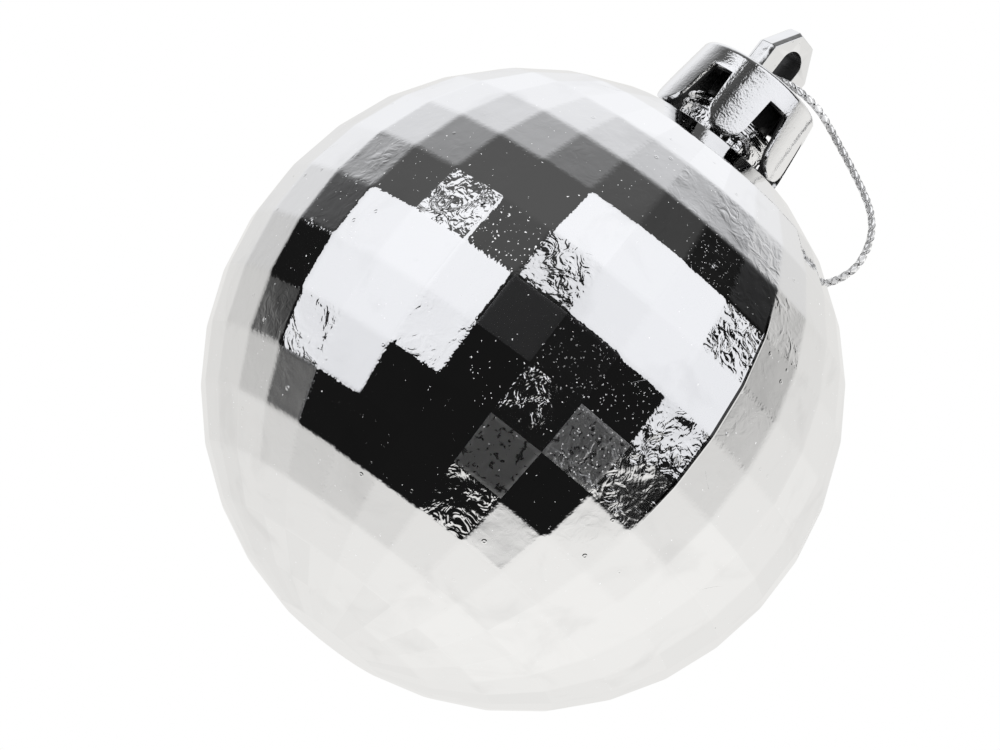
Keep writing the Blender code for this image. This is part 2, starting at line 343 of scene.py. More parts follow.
def mirror_film():
    """Vacuum-metallised plastic, wrinkled and clouded on some facets, with dust, pits and scratches, and
    painted dark along the seam.
    """
    mat, tree, shader = new_material("silver_mirror_plastic")
    place = millimetres(tree)
    torn = ragged(tree, place, 0.16)
    crinkle, cloud, speckle, film, edge = [mesh_value(tree, name) for name in FACET_TRAITS]

    clusters = ramp(tree, noise_at(tree, place, 0.22, 1.0), 0.42, 0.62)
    fine_dust = math_node(tree, "MULTIPLY", specks(tree, torn, *FINE_DUST), clusters)
    spray = math_node(tree, "MULTIPLY", specks(tree, torn, *SPRAY), speckle)
    dust = math_node(tree, "MAXIMUM", specks(tree, torn, *DUST), fine_dust)
    dust = math_node(tree, "MAXIMUM", dust, spray)
    smears = ramp(tree, noise_at(tree, place, 0.16, 5.0, 0.8), 0.5, 0.72, 0.88, 0.82)
    holes = ramp(tree, specks(tree, torn, *PINHOLES), 0.0, 1.0, 1.0, 0.1)
    # film: each facet's random tone, and the painted dark reflection along the seam
    shade = math_node(tree, "MULTIPLY", math_node(tree, "MULTIPLY", film, smears), holes)
    tree.links.new(dusted(tree, shade, dust), shader.inputs["Base Color"])
    tree.links.new(math_node(tree, "SUBTRACT", 1.0, dust), shader.inputs["Metallic"])

    mottle = ramp(tree, noise_at(tree, place, 1.7, 3.0, 0.6), 0.34, 0.46, 0.5, 1.05)
    mottle = math_node(tree, "MULTIPLY_ADD", edge, 0.5, mottle)
    strong = math_node(tree, "GREATER_THAN", cloud, STRONG_CLOUD)
    etched = math_node(tree, "MULTIPLY_ADD", strong, math_node(tree, "SUBTRACT", mottle, 1.0), 1.0)
    rough = math_node(tree, "MULTIPLY_ADD", crinkle, 0.05, 0.04)
    rough = math_node(tree, "MULTIPLY_ADD", cloud, etched, rough)
    rough = math_node(tree, "MULTIPLY_ADD", dust, 0.5, rough)
    tree.links.new(rough, shader.inputs["Roughness"])

    normal = bump(tree, noise_at(tree, place, 0.55, 1.0), PEEL_DEPTH)
    patches = ramp(tree, noise_at(tree, place, 0.33, 0.0), 0.3, 0.62, 0.25, 1.0)
    wrinkles = math_node(tree, "MULTIPLY", noise_at(tree, place, 0.62, 2.0, 1.8), crinkle)
    normal = bump(tree, math_node(tree, "MULTIPLY", wrinkles, patches), WRINKLE_DEPTH, normal)
    pebbled = math_node(tree, "MULTIPLY_ADD", crinkle, 1.5, edge)
    pebbles = math_node(tree, "MULTIPLY", noise_at(tree, place, 2.4, 1.0), pebbled)
    normal = bump(tree, pebbles, PEBBLE_DEPTH, normal)
    pit_rims = math_node(tree, "SUBTRACT", specks(tree, place, *RING_PIT_OUTSIDE),
                         specks(tree, place, *RING_PIT_INSIDE))
    scratches = hairlines(tree, place, 0.11, 0.0016, 0.30)
    normal = bump(tree, math_node(tree, "SUBTRACT", pit_rims, scratches), SCRATCH_DEPTH, normal)
    tree.links.new(normal, shader.inputs["Normal"])
    return mat


def below_roof(tree, place):
    """How many millimetres a place lies below the top of the cap's roof."""
    height = node(tree, "ShaderNodeSeparateXYZ", {0: place}).outputs[2]
    return math_node(tree, "SUBTRACT", (BALL_CENTRE.z + CAP_TOP) / MM, height)


def painted_shade_inside_cap(tree, place):
    """1 under the cap's roof and behind its skirt, which get painted shade, and 0 outside."""
    across = node(tree, "ShaderNodeVectorMath", {0: place, 1: (1.0, 1.0, 0.0)}, operation="MULTIPLY")
    radius = node(tree, "ShaderNodeVectorMath", {0: across.outputs[0]}, operation="LENGTH").outputs["Value"]
    below = below_roof(tree, place)
    flare = (CAP_TIP_RADIUS - CAP_FLAT_RADIUS - CAP_SHOULDER) / (CAP_TOP - CAP_SHOULDER - CAP_TIP)
    in_the_wall = (CAP_FLAT_RADIUS + CAP_SHOULDER - 0.55 * CAP_WALL) / MM
    skin = math_node(tree, "MULTIPLY_ADD", below, flare, in_the_wall)
    behind = ramp(tree, math_node(tree, "SUBTRACT", skin, radius), 0.0, 0.06)
    return math_node(tree, "MULTIPLY", behind, ramp(tree, below, 0.4, 0.5))


def cap_film():
    """The cap's plating, finely grained outside, with painted shade under its roof and on the eyelet hole's
    wall.
    """
    mat, tree, shader = new_material("silver_cap_plastic")
    place = millimetres(tree)
    # painted shade: a near-black, dull, less metallic colour inside the cap and on the eyelet hole's wall
    painted_shade = math_node(tree, "MAXIMUM", painted_shade_inside_cap(tree, place), mesh_value(tree, "painted_shade_wall"))
    shade = math_node(tree, "MULTIPLY_ADD", painted_shade, -0.83, 0.86)
    tree.links.new(grey(tree, shade), shader.inputs["Base Color"])
    tree.links.new(math_node(tree, "MULTIPLY_ADD", painted_shade, -0.7, 1.0), shader.inputs["Metallic"])
    grain = noise_at(tree, place, 4.6, 2.0)
    rough = math_node(tree, "MULTIPLY_ADD", grain, 0.06, 0.05)
    tree.links.new(math_node(tree, "MULTIPLY_ADD", painted_shade, 0.25, rough), shader.inputs["Roughness"])
    normal = bump(tree, noise_at(tree, place, 0.9, 1.0), CAP_RIPPLE_DEPTH)
    graining = ramp(tree, below_roof(tree, place), -0.1, 0.6, 0.1, 1.0)  # less on the roof and the eyelet
    normal = bump(tree, math_node(tree, "MULTIPLY", grain, graining), CAP_GRAIN_DEPTH, normal)
    normal = bump(tree, specks(tree, place, *CAP_PITS), -CAP_PIT_DEPTH, normal)
    tree.links.new(normal, shader.inputs["Normal"])
    return mat


def braid_thread():
    """Metallised film strands with painted shade at their edges for the dark gaps between them, mirror-bright
    in some stretches and dull in others.
    """
    mat, tree, shader = new_material("silver_braid")
    place = millimetres(tree)
    # painted shade: the strands darken toward their edges, where the gaps between them lie in shade
    shade = ramp(tree, mesh_value(tree, "strand_edge_shade"), 0.84, 0.98, 1.0, 0.03)
    tree.links.new(grey(tree, shade), shader.inputs["Base Color"])
    stretches = ramp(tree, noise_at(tree, place, 0.12, 0.0), 0.44, 0.56, 0.08, 0.7)
    tree.links.new(stretches, shader.inputs["Metallic"])
    glints = noise_at(tree, place, 2.2, 1.0)
    tree.links.new(math_node(tree, "MULTIPLY_ADD", glints, 0.24, 0.08), shader.inputs["Roughness"])
    tree.links.new(bump(tree, glints, GLINT_DEPTH), shader.inputs["Normal"])
    return mat


# Pieces


def new_piece(name, mesh, mat, body):
    obj = bpy.data.objects.new(name, mesh)
    bpy.context.scene.collection.objects.link(obj)
    obj.data.materials.append(mat)
    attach(obj, body)
    return obj


def grid_mesh(name, rings, close_start=False, close_end=False):
    """A mesh of quads between closed rings of equally many points. An end can close on one point."""
    count = len(rings[0])
    verts = [point for ring in rings for point in ring]
    faces = []
    for r in range(len(rings) - 1):
        for c in range(count):
            d = (c + 1) % count
            faces.append((r * count + c, r * count + d, (r + 1) * count + d, (r + 1) * count + c))
    for closed, ring in ((close_start, 0), (close_end, len(rings) - 1)):
        if closed:
            centre = len(verts)
            verts.append(sum(rings[ring], Vector()) / count)
            for c in range(count):
                faces.append((ring * count + c, ring * count + (c + 1) % count, centre))
    mesh = bpy.data.meshes.new(name)
    mesh.from_pydata(verts, [], faces)
    tidy_mesh(mesh)
    return mesh


def tidy_mesh(mesh, weld=0.0):
    """Faces out, smooth shaded, and points closer than weld made one."""
    body = bmesh.new()
    body.from_mesh(mesh)
    if weld:
        bmesh.ops.remove_doubles(body, verts=body.verts, dist=weld)
    bmesh.ops.recalc_face_normals(body, faces=body.faces)
    body.to_mesh(mesh)
    body.free()
    mesh.polygons.foreach_set("use_smooth", [True] * len(mesh.polygons))


def round_ring(radius, height, azimuths):
    return [BALL_CENTRE + Vector((radius * math.cos(a), radius * math.sin(a), height)) for a in azimuths]


def arc(centre, radius, start, end, count):
    """Points of an arc in (radius, height), between two angles in degrees, both ends included."""
    points = []
    for i in range(count + 1):
        angle = math.radians(start + (end - start) * i / count)
        points.append((centre[0] + radius * math.cos(angle), centre[1] + radius * math.sin(angle)))
    return points


FACET_STEPS = (0.0, EDGE_ROUND / 2, EDGE_ROUND, 1.4 * EDGE_ROUND, 0.25, 0.42, 0.58, 0.75,
               1 - 1.4 * EDGE_ROUND, 1 - EDGE_ROUND, 1 - EDGE_ROUND / 2)


def rounding(at, width, bend):
    """How far a facet's edge rounds in, at this share of its width, where two facets meet at this bend."""
    reach = EDGE_ROUND * width
    short = max(0.0, reach - min(at, 1 - at) * width)
    return short * short * math.tan(bend / 2) / (2 * reach)


def facet_corners(rng):
    """Corner points of the facet rows relative to the ball's centre, ring by ring from the top."""
    rings = []
    for r in range(FACET_ROWS - 1):
        latitude = math.pi / 2 - (r + 1) * ROW_ANGLE
        ring = []
        for c in range(FACETS_ROUND):
            azimuth = FIRST_EDGE + c * COLUMN_ANGLE
            out = Vector((math.cos(latitude) * math.cos(azimuth), math.cos(latitude) * math.sin(azimuth),
                          math.sin(latitude)))
            ring.append(out * (BALL_RADIUS + rng.uniform(-1, 1) * CORNER_JITTER))
        rings.append(ring)
    return rings


def seam_share(latitude):
    """How much of the moulding seam is left at a latitude: all in the middle, and none near the poles."""
    south, north = SEAM_LATITUDES
    fade = math.radians(6)
    return smoothstep(south, south + fade, latitude) * smoothstep(north, north - fade, latitude)


def facet_rings(rng):
    """Rings of points over all facet rows, with rounded edges, slight domes and the moulding seam."""
    corners = facet_corners(rng)
    domes = [[rng.uniform(-0.4, 1.0) * FACET_DOME for _ in range(FACETS_ROUND)] for _ in range(FACET_ROWS)]
    rings = []
    for r in range(FACET_ROWS - 2):
        latitude = math.pi / 2 - (r + 1.5) * ROW_ANGLE
        for v in FACET_STEPS + ((1.0,) if r == FACET_ROWS - 3 else ()):
            ring = []
            for c in range(FACETS_ROUND):
                d = (c + 1) % FACETS_ROUND
                left = corners[r][c].lerp(corners[r + 1][c], v)
                right = corners[r][d].lerp(corners[r + 1][d], v)
                width = (right - left).length
                tall = (corners[r + 1][c] - corners[r][c]).length
                for u in FACET_STEPS:
                    point = left.lerp(right, u)
                    out = point.normalized()
                    inner = 16 * u * (1 - u) * v * (1 - v)
                    lift = domes[r][c] * inner
                    lift += FACET_WAVE * noise.noise(point * 450) * math.sqrt(max(inner, 0.0))
                    lift -= rounding(u, width, COLUMN_ANGLE * math.cos(latitude))
                    lift -= rounding(v, tall, ROW_ANGLE)
                    if u == 0.0 and c in SEAM_COLUMNS:
                        lift += SEAM_HEIGHT * SEAM_COLUMNS[c] * seam_share(math.asin(out.z))
                    ring.append(BALL_CENTRE + point + out * lift)
            rings.append(ring)
    return rings


def shell_profile():
    """The ball's inner wall and its neck in (radius, height), from the bottom up to the top facet disc."""
    inside = BALL_RADIUS - BALL_WALL
    profile = []
    for i in range(1, 17):
        latitude = -math.pi / 2 + i * ROW_ANGLE
        profile.append((inside * math.cos(latitude), inside * math.sin(latitude)))
    lip = 0.15 * MM
    profile.append((NECK_BORE, inside * math.cos(ROW_ANGLE)))
    profile.append((NECK_BORE, NECK_TOP - 0.1 * MM))
    profile += arc((NECK_BORE + lip, NECK_TOP - lip), lip, 180, 90, 2)
    profile += arc((NECK_RADIUS - lip, NECK_TOP - lip), lip, 90, 0, 3)
    for height in reversed(NECK_BEADS):
        profile += arc((NECK_RADIUS, height), NECK_BEAD, 85, -85, 8)
    fillet = 0.35 * MM
    profile += arc((NECK_RADIUS + fillet, FACET_DISC + fillet), fillet, 180, 270, 4)
    return profile


def mark_facets(mesh, first_facet_ring, rng):
    """Writes on each face what the film reads: shade, wrinkles, clouds, specks, the painted dark of the seam
    and the edges.
    """
    steps = len(FACET_STEPS)
    shades = {}
    for name in FACET_TRAITS:
        mesh.attributes.new(name, "FLOAT", "FACE")
    values = {name: mesh.attributes[name].data for name in FACET_TRAITS}
    for i in range(len(mesh.polygons)):
        ring, point = divmod(i, FACETS_ROUND * steps)
        column, across = divmod(point, steps)
        row, down = divmod(ring - first_facet_ring, steps)
        row += 1
        plain = ring < first_facet_ring or row > FACET_ROWS - 2
        facet = (0, 0) if plain else (row, column)
        if facet not in shades:
            shades[facet] = rng.uniform(0.95, 1.0)
        on_neck = NECK_FIRST_RING < ring < first_facet_ring
        seam_dark_share = 0.0
        if across in (0, steps - 1) and not plain:
            beside = column + (1 if across else 0)
            latitude = math.asin((mesh.polygons[i].center - BALL_CENTRE).normalized().z)
            seam_dark_share = SEAM_COLUMNS.get(beside, 0.0) * seam_share(latitude)
        on_edge = min(across, steps - 1 - across, down, steps - 1 - down) < 2
        values["crinkle"][i].value = NECK_CRINKLE if on_neck else CRINKLED.get(facet, PLAIN_CRINKLE)
        values["cloud"][i].value = CLOUDED.get(facet, 0.0)
        values["speckle"][i].value = SPECKLED.get(facet, 0.0)
        # on the seam the film's colour is painted near-black, a painted dark reflection
        values["film"][i].value = shades[facet] + (SEAM_PAINTED_DARK - shades[facet]) * seam_dark_share
        values["edge"][i].value = EDGE_PEBBLING if on_edge and not plain else 0.0


def build_ball(mat):
    """The hollow ball with its neck, as one closed shell."""
    rng = random.Random(7)
    azimuths = []
    for c in range(FACETS_ROUND):
        azimuths += [FIRST_EDGE + (c + u) * COLUMN_ANGLE for u in FACET_STEPS]
    rings = [round_ring(radius, height, azimuths) for radius, height in shell_profile()]
    first_facet_ring = len(rings)
    facets = facet_rings(rng)
    rings += facets
    low_centre = BALL_CENTRE - Vector((0, 0, FACET_DISC))
    rings += [[low_centre.lerp(point, share) for point in facets[-1]] for share in (0.9, 0.5, 0.2)]
    mesh = grid_mesh("mirror_ball", rings, close_start=True, close_end=True)
    mark_facets(mesh, first_facet_ring, rng)
    ball = new_piece("mirror_ball", mesh, mat, "ball")
    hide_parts("ball_shell")


def skirt_radius(height):
    """The cap's outer radius at a height on its skirt."""
    top = (CAP_TOP - CAP_SHOULDER, CAP_FLAT_RADIUS + CAP_SHOULDER)
    upper, lower = (top, CAP_WAIST) if height > CAP_WAIST[0] else (CAP_WAIST, (CAP_TIP, CAP_TIP_RADIUS))
    share = (upper[0] - height) / (upper[0] - lower[0])
    return upper[1] + share * (lower[1] - upper[1])


def petal_half_angle(height):
    share = min(1.0, max(0.0, (WINDOW_TOP - height) / (WINDOW_TOP - PETAL_ROUND_START)))
    window = WINDOW_HALF_WIDTH + share * (WINDOW_LOW_HALF_WIDTH - WINDOW_HALF_WIDTH)
    return math.pi / PETALS - math.asin(window / skirt_radius(height))


def build_cap(mat):
    """The crown: a roof with a rounded shoulder, a flared skirt and petals, one skin that is thickened."""
    petal_steps, gap_steps, rows_down = 16, 5, 12
    shares = [math.sin(math.pi * (i / petal_steps - 0.5)) for i in range(petal_steps + 1)]
    columns = []
    for petal in range(PETALS):
        middle = PETAL_AZIMUTH + petal * 2 * math.pi / PETALS
        columns += [(middle, share) for share in shares]
        columns += [(middle, 1 + i) for i in range(1, gap_steps)]
    top_half = petal_half_angle(WINDOW_TOP)
    gap = 2 * math.pi / PETALS - 2 * top_half

    def azimuth(middle, share):
        if share <= 1:
            return middle + share * top_half
        return middle + top_half + gap * (share - 1) / gap_steps

    profile = [(0.3 * CAP_FLAT_RADIUS, CAP_TOP), (0.7 * CAP_FLAT_RADIUS, CAP_TOP)]
    profile += arc((CAP_FLAT_RADIUS, CAP_TOP - CAP_SHOULDER), CAP_SHOULDER, 90, 0, 8)
    profile += [(skirt_radius(z), z) for z in (35.75 * MM, 35.35 * MM, WINDOW_TOP)]
    verts, faces = [], []
    count = len(columns)
    for radius, height in profile:
        for middle, share in columns:
            a = azimuth(middle, share)
            verts.append(BALL_CENTRE + Vector((radius * math.cos(a), radius * math.sin(a), height)))
    for r in range(len(profile) - 1):
        for c in range(count):
            d = (c + 1) % count
            faces.append((r * count + c, r * count + d, (r + 1) * count + d, (r + 1) * count + c))
    verts.append(BALL_CENTRE + Vector((0, 0, CAP_TOP)))
    faces += [(c, (c + 1) % count, len(verts) - 1) for c in range(count)]
    last = (len(profile) - 1) * count
    per_petal = petal_steps + gap_steps
    for petal in range(PETALS):
        middle = PETAL_AZIMUTH + petal * 2 * math.pi / PETALS
        above = [last + petal * per_petal + i for i in range(petal_steps + 1)]
        for row in range(1, rows_down + 1):
            below = []
            for share in shares:
                drop = (PETAL_ROUND_START - CAP_TIP) * math.sqrt(max(0.0, 1 - share * share))
                bottom = PETAL_ROUND_START - drop
                height = WINDOW_TOP + (bottom - WINDOW_TOP) * row / rows_down
                a = middle + share * petal_half_angle(height)
                radius = skirt_radius(height)
                below.append(len(verts))
                verts.append(BALL_CENTRE + Vector((radius * math.cos(a), radius * math.sin(a), height)))
            for i in range(petal_steps):
                faces.append((above[i], above[i + 1], below[i + 1], below[i]))
            above = below
    mesh = bpy.data.meshes.new("crown_skin")
    mesh.from_pydata(verts, [], faces)
    tidy_mesh(mesh)
    cap = new_piece("crown_skin", mesh, mat, "cap")
    wall = cap.modifiers.new("wall", "SOLIDIFY")
    wall.thickness = CAP_WALL
    wall.offset = -1.0
    wall.use_even_offset = True
    edges = cap.modifiers.new("edges", "BEVEL")
    edges.width = CAP_EDGE_ROUND
    edges.segments = 3
    edges.limit_method = "ANGLE"
    edges.angle_limit = math.radians(50)
    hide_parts("crown_cap")


def build_sleeve(mat):
    """The tube under the cap's roof that plugs the ball's neck."""
    azimuths = [2 * math.pi * i / 64 for i in range(64)]
    roof = CAP_TOP - CAP_WALL + 0.1 * MM
    lip = 0.2 * MM
    profile = [(SLEEVE_RADIUS, roof), (SLEEVE_RADIUS, SLEEVE_BOTTOM + lip)]
    profile += [(SLEEVE_RADIUS - lip, SLEEVE_BOTTOM), (SLEEVE_BORE, SLEEVE_BOTTOM), (SLEEVE_BORE, roof)]
    rings = [round_ring(radius, height, azimuths) for radius, height in profile]
    mesh = grid_mesh("cap_sleeve", rings + [rings[0]])
    tidy_mesh(mesh, weld=0.001 * MM)
    new_piece("cap_sleeve", mesh, mat, "cap")


def inset(outline, distance):
    """The corners of a convex outline, listed against the clock, with each side moved in by a distance."""
    sides = []
    for start, end in zip(outline, outline[1:] + outline[:1]):
        along = (end - start).normalized()
        sides.append((start + Vector((-along.y, along.x)) * distance, along))
    corners = []
    for (a, way_a), (b, way_b) in zip(sides[-1:] + sides[:-1], sides):
        cross = way_a.x * way_b.y - way_a.y * way_b.x
        gap = b - a
        corners.append(a + way_a * (gap.x * way_b.y - gap.y * way_b.x) / cross)
    return corners


def build_eyelet(mat):
    """The upright plate with chamfered corners and edges, and its arched hole that narrows to the back."""
    right = [(EYELET_HALF_WIDTH, CAP_TOP - 0.4 * MM), (EYELET_HALF_WIDTH, EYELET_SHOULDER),
             (EYELET_TOP_HALF_WIDTH, EYELET_TOP)]
    plate = [Vector(point) for point in right] + [Vector((-x, y)) for x, y in reversed(right)]
    sill = CAP_TOP + 0.15 * MM
    hole = [Vector((HOLE_HALF_WIDTH, sill))]
    for i in range(25):
        angle = math.pi * i / 24
        hole.append(Vector((HOLE_HALF_WIDTH * math.cos(angle),
                            HOLE_SPRING + (HOLE_TOP - HOLE_SPRING) * math.sin(angle))))
    hole.append(Vector((-HOLE_HALF_WIDTH, sill)))
    face = EYELET_THICKNESS / 2
    body = bmesh.new()

    def loop(points, depth):
        verts = [body.verts.new((point.x, point.y, depth)) for point in points]
        return verts, [body.edges.new(pair) for pair in zip(verts, verts[1:] + verts[:1])]

    front, front_edges = loop(inset(plate, EYELET_EDGE_ACROSS), face)
    back, back_edges = loop(inset(plate, EYELET_EDGE_ACROSS), -face)
    front_hole, front_hole_edges = loop(hole, face)
    back_hole, back_hole_edges = loop([Vector((HOLE_BACK_SHARE * p.x, p.y)) for p in hole], -face)
    outer_front, _ = loop(plate, face - EYELET_EDGE_DEEP)
    outer_back, _ = loop(plate, EYELET_EDGE_DEEP - face)
    # the hole's wall is marked for the cap material's painted shade
    painted_shade_wall = body.faces.layers.float.new("painted_shade_wall")
    for one, other in ((front, outer_front), (outer_front, outer_back), (outer_back, back),
                       (back_hole, front_hole)):
        for i in range(len(one)):
            j = (i + 1) % len(one)
            side = body.faces.new((one[i], one[j], other[j], other[i]))
            side[painted_shade_wall] = 1.0 if one is back_hole else 0.0
    bmesh.ops.triangle_fill(body, edges=front_edges + front_hole_edges, use_beauty=True)
    bmesh.ops.triangle_fill(body, edges=back_edges + back_hole_edges, use_beauty=True)
    mesh = bpy.data.meshes.new("cap_eyelet")
    body.to_mesh(mesh)
    body.free()
    turn = Matrix.Rotation(EYELET_AZIMUTH + math.pi / 2, 4, "Z") @ Matrix.Rotation(math.pi / 2, 4, "X")
    mesh.transform(Matrix.Translation(BALL_CENTRE + Vector((EYELET_OFF_CENTRE, 0, 0))) @ turn)
    tidy_mesh(mesh)
    eyelet = new_piece("cap_eyelet", mesh, mat, "cap")
    soft = eyelet.modifiers.new("soft_edges", "BEVEL")
    soft.width = EYELET_EDGE_ROUND
    soft.segments = 3
    soft.limit_method = "ANGLE"
    soft.angle_limit = math.radians(25)
    eyelet.modifiers.new("flat_faces", "WEIGHTED_NORMAL").keep_sharp = True


# Cord


def smooth_route(points, count):
    """Evenly spaced points on the Catmull-Rom curve through the given points."""
    dense = []
    padded = [points[0]] + points + [points[-1]]
    for a, b, c, d in zip(padded, padded[1:], padded[2:], padded[3:]):
        for k in range(20):
            t = k / 20
            dense.append(0.5 * (2 * b + (c - a) * t + (2 * a - 5 * b + 4 * c - d) * t**2
                                + (3 * b - a - 3 * c + d) * t**3))
    dense.append(points[-1])
    lengths = [0.0]
    for a, b in zip(dense, dense[1:]):
        lengths.append(lengths[-1] + (b - a).length)
    result = []
    index = 0
    for i in range(count):
        wanted = lengths[-1] * i / (count - 1)
        while index < len(dense) - 2 and lengths[index + 1] < wanted:
            index += 1
        span = lengths[index + 1] - lengths[index]
        result.append(dense[index].lerp(dense[index + 1], (wanted - lengths[index]) / span))
    return result


def route_length(points):
    return sum((b - a).length for a, b in zip(points, points[1:]))


def place_on_bauble(point):
    """A (across, deep, height) point in millimetres as a place in the frame."""
    return BALL_CENTRE + Vector(point) * MM


def tangent_at(points, i):
    """The path's direction at one of its points."""
    return (points[min(i + 1, len(points) - 1)] - points[max(i - 1, 0)]).normalized()


def frames_along(points):
    """A point and two directions across the path for each point, turning as little as possible."""
    side = tangent_at(points, 0).orthogonal().normalized()
    result = []
    for i, point in enumerate(points):
        tangent = tangent_at(points, i)
        side = (side - tangent * side.dot(tangent)).normalized()
        result.append((point, side, tangent.cross(side)))
    return result


def tube_along(verts, faces, points, wide, thick, inward, sides=STRAND_SIDES):
    """Adds a closed strand of oval section. inward gives, for each point, the way to the braid's middle."""
    start = len(verts)
    for i, point in enumerate(points):
        tangent = tangent_at(points, i)
        normal = (inward[i] - tangent * inward[i].dot(tangent)).normalized()
        across = tangent.cross(normal)
        for s in range(sides):
            angle = 2 * math.pi * s / sides
            verts.append(point + across * wide * math.cos(angle) + normal * thick * math.sin(angle))
    for i in range(len(points) - 1):
        for s in range(sides):
            t = (s + 1) % sides
            a = start + i * sides
            faces.append((a + s, a + t, a + sides + t, a + sides + s))
    faces.append(tuple(start + s for s in range(sides)))
    faces.append(tuple(start + (len(points) - 1) * sides + s for s in range(sides)))


def braid_mesh(name, route, diameter):
    """Four flat strands, two turning each way, that pass over and under each other round the route."""
    turns = route_length(route) / BRAID_PITCH
    wide, thick = diameter * STRAND_HALF_WIDTH, diameter * STRAND_HALF_THICKNESS
    steps = max(8, round(turns * BRAID_STEPS))
    frames = frames_along(smooth_route(route, steps))
    verts, faces = [], []
    for strand in range(4):
        way = 1 if strand < 2 else -1
        points, inward = [], []
        for i, (centre, side, up) in enumerate(frames):
            wound = 2 * math.pi * turns * i / (steps - 1)
            angle = way * wound + math.pi * (strand % 2) + BRAID_TURN
            out = side * math.cos(angle) + up * math.sin(angle)
            points.append(centre + out * diameter * (STRAND_ORBIT + way * STRAND_WEAVE * math.cos(2 * wound)))
            inward.append(-out)
        tube_along(verts, faces, points, wide, thick, inward)
    mesh = bpy.data.meshes.new(name)
    mesh.from_pydata(verts, [], faces)
    tidy_mesh(mesh)
    # how near each point lies to its strand's edge, which the thread paints in shade
    strand_edge_shade = mesh.attributes.new("strand_edge_shade", "FLOAT", "POINT")
    for i, value in enumerate(strand_edge_shade.data):
        value.value = abs(math.cos(2 * math.pi * (i % STRAND_SIDES) / STRAND_SIDES))
    return mesh


def build_knot(mat):
    """The overhand knot: a short braid wound round itself, inside the lump that the CAD gives it."""
    centre = place_on_bauble(KNOT_PLACE)
    scale = (KNOT_RADIUS - 0.28 * CORD_DIAMETER) / 3.2
    points = []
    for i in range(61):
        t = 2 * math.pi * i / 60
        points.append(centre + scale * Vector((
            math.sin(t) + 2 * math.sin(2 * t),
            -1.6 * math.sin(3 * t),
            math.cos(t) - 2 * math.cos(2 * t),
        )))
    mesh = braid_mesh("knot_braid", points, 0.85 * CORD_DIAMETER)
    knot = new_piece("knot_braid", mesh, mat, "cord")
    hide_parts("cord_knot")
    return knot


def build_tail(name, mat, turn):
    """A short free end that leaves the knot along the ball and frays at its tip."""
    centre = place_on_bauble(KNOT_PLACE)
    out = (centre - BALL_CENTRE).normalized()
    along = Matrix.Rotation(turn, 3, out) @ out.cross(Vector((0, 1, 0))).normalized()
    points = []
    for share in (0.12, 0.4, 0.7, 1.0):
        points.append(centre + along * TAIL_LENGTH * share + out * (TAIL_RISE * math.sin(math.pi * share)))
    mesh = braid_mesh(name, points, 0.9 * CORD_DIAMETER)
    verts, faces = [v.co.copy() for v in mesh.vertices], [tuple(p.vertices) for p in mesh.polygons]
    rng = random.Random(name)
    tip = points[-1]
    for _ in range(TAIL_HAIRS):
        spread = Vector([rng.uniform(-1, 1) for _ in range(3)])
        way = (along + 0.45 * (spread - out * min(0.0, spread.dot(out)))).normalized()
        hair = [tip + way * 0.45 * MM * k - along * 0.2 * MM + spread * 0.03 * MM * k * k for k in range(4)]
        tube_along(verts, faces, hair, 0.05 * MM, 0.03 * MM, [out] * 4, sides=5)
    frayed = bpy.data.meshes.new(name)
    frayed.from_pydata(verts, [], faces)
    tidy_mesh(frayed)
    return new_piece(name, frayed, mat, "cord")


def build_cord(mat):
    route = smooth_route([place_on_bauble(point) for point in CORD_ROUTE], CORD_POINTS)
    mesh = braid_mesh("braided_cord", route, CORD_DIAMETER)
    cord = new_piece("braided_cord", mesh, mat, "cord")
    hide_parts("hanging_cord")
    knot = build_knot(mat)
    turns = {"cord_tail_a": math.radians(-12), "cord_tail_b": math.radians(20)}
    tails = [build_tail(name, mat, turn) for name, turn in turns.items()]


# Camera and studio


def camera_axes():
    """The camera's right, up and back directions in the frame."""
    back = Vector((0, -math.cos(VIEW_ELEVATION), math.sin(VIEW_ELEVATION)))
    right = Vector((1, 0, 0))
    up = back.cross(right)
    cos, sin = math.cos(VIEW_ROLL), math.sin(VIEW_ROLL)
    return right * cos + up * sin, up * cos - right * sin, back


def as_matrix(right, up, back, place):
    matrix = Matrix((right, up, back)).transposed().to_4x4()
    matrix.translation = place
    return matrix


def add_camera():
    right, up, back = camera_axes()
    camera = bpy.data.objects.new("camera", bpy.data.cameras.new("camera"))
    camera.data.lens = LENS
    camera.data.shift_x, camera.data.shift_y = LENS_SHIFT
    camera.data.clip_start, camera.data.clip_end = 0.01, 20.0
    camera.matrix_world = as_matrix(right, up, back, BALL_CENTRE + back * VIEW_DISTANCE)
    bpy.context.scene.collection.objects.link(camera)
    bpy.context.scene.camera = camera


